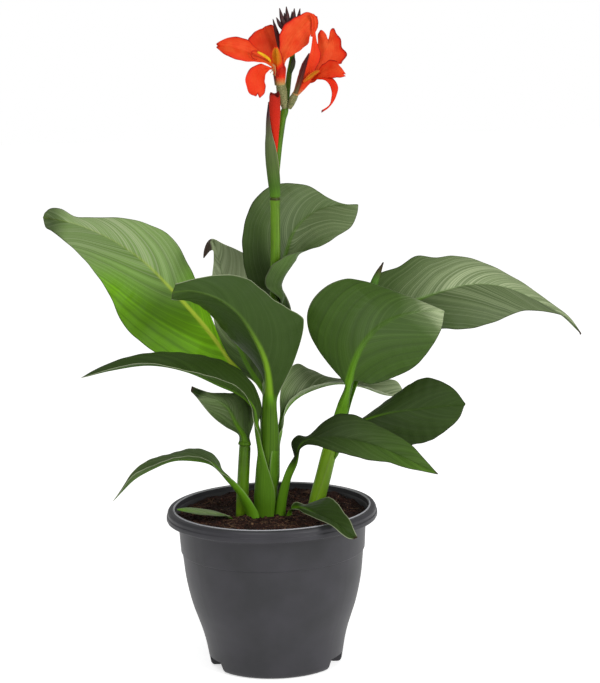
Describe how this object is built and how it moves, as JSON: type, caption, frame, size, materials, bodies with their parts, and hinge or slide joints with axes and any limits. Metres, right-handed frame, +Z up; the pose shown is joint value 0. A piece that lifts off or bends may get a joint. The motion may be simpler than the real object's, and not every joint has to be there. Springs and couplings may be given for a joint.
{
  "type": "canna lily plant",
  "caption": "Potted canna lily in flower: leafy upright stems with broad arching leaves, orange-red blooms on the tallest, soil and a round nursery pot.",
  "frame": {"origin": "centre of the pot's flat underside", "axes": "+Z up, -Y the viewed front, +X to the viewer's right"},
  "size_m": [0.4885, 0.2174, 0.593],
  "materials": {
    "pot_plastic": "moulded polypropylene, satin anthracite with a faint sheen",
    "potting_soil": "moist crumbly peat and bark mix with a few tan specks",
    "stem_green": "fresh fleshy stem, smooth and slightly waxy, fine lengthwise streaks",
    "leaf_green": "broad leaf, satin, with curved side veins and a pale midrib",
    "leaf_bright": "young sunlit leaf, yellow-green at its base, satin, with curved side veins",
    "bract": "grey-green sheath with a thin papery margin",
    "petal_red": "orange-red petal, velvety satin, darker rim",
    "stamen_yellow": "yellow petal-like stamen with orange streaks",
    "sepal_brown": "purple-brown narrow sepal, matt",
    "bud_purple": "dark purple pointed buds, slightly bloomy",
    "ovary": "mottled grey-green ovary with fine warts"
  },
  "bodies": {
    "root": {"pot": "pot_plastic", "soil": "potting_soil", "stem_main": "stem_green", "stem_left": "stem_green", "stem_right": "stem_green", "leaf_front": "leaf_green", "leaf_bright": "leaf_bright", "leaf_arching": "leaf_green", "leaf_thin": "leaf_green", "leaf_folded": "leaf_green", "leaf_behind": "leaf_green", "leaf_top": "leaf_green", "leaf_round": "leaf_green", "leaf_long": "leaf_green", "leaf_right_front": "leaf_green", "leaf_right_dark": "leaf_green", "leaf_right_behind": "leaf_green", "leaf_over_rim": "leaf_green", "leaf_on_soil": "leaf_green", "leaf_rolled": "leaf_green", "spathe": "bract", "bud_red": "petal_red", "bud_side": "bract", "buds_purple": "bud_purple", "flower_left_petals": "petal_red", "flower_left_stamen": "stamen_yellow", "flower_left_sepal": "sepal_brown", "flower_left_ovary": "ovary", "flower_right_petals": "petal_red", "flower_right_sepal": "sepal_brown", "flower_right_ovary": "ovary"}
  },
  "joints": []
}
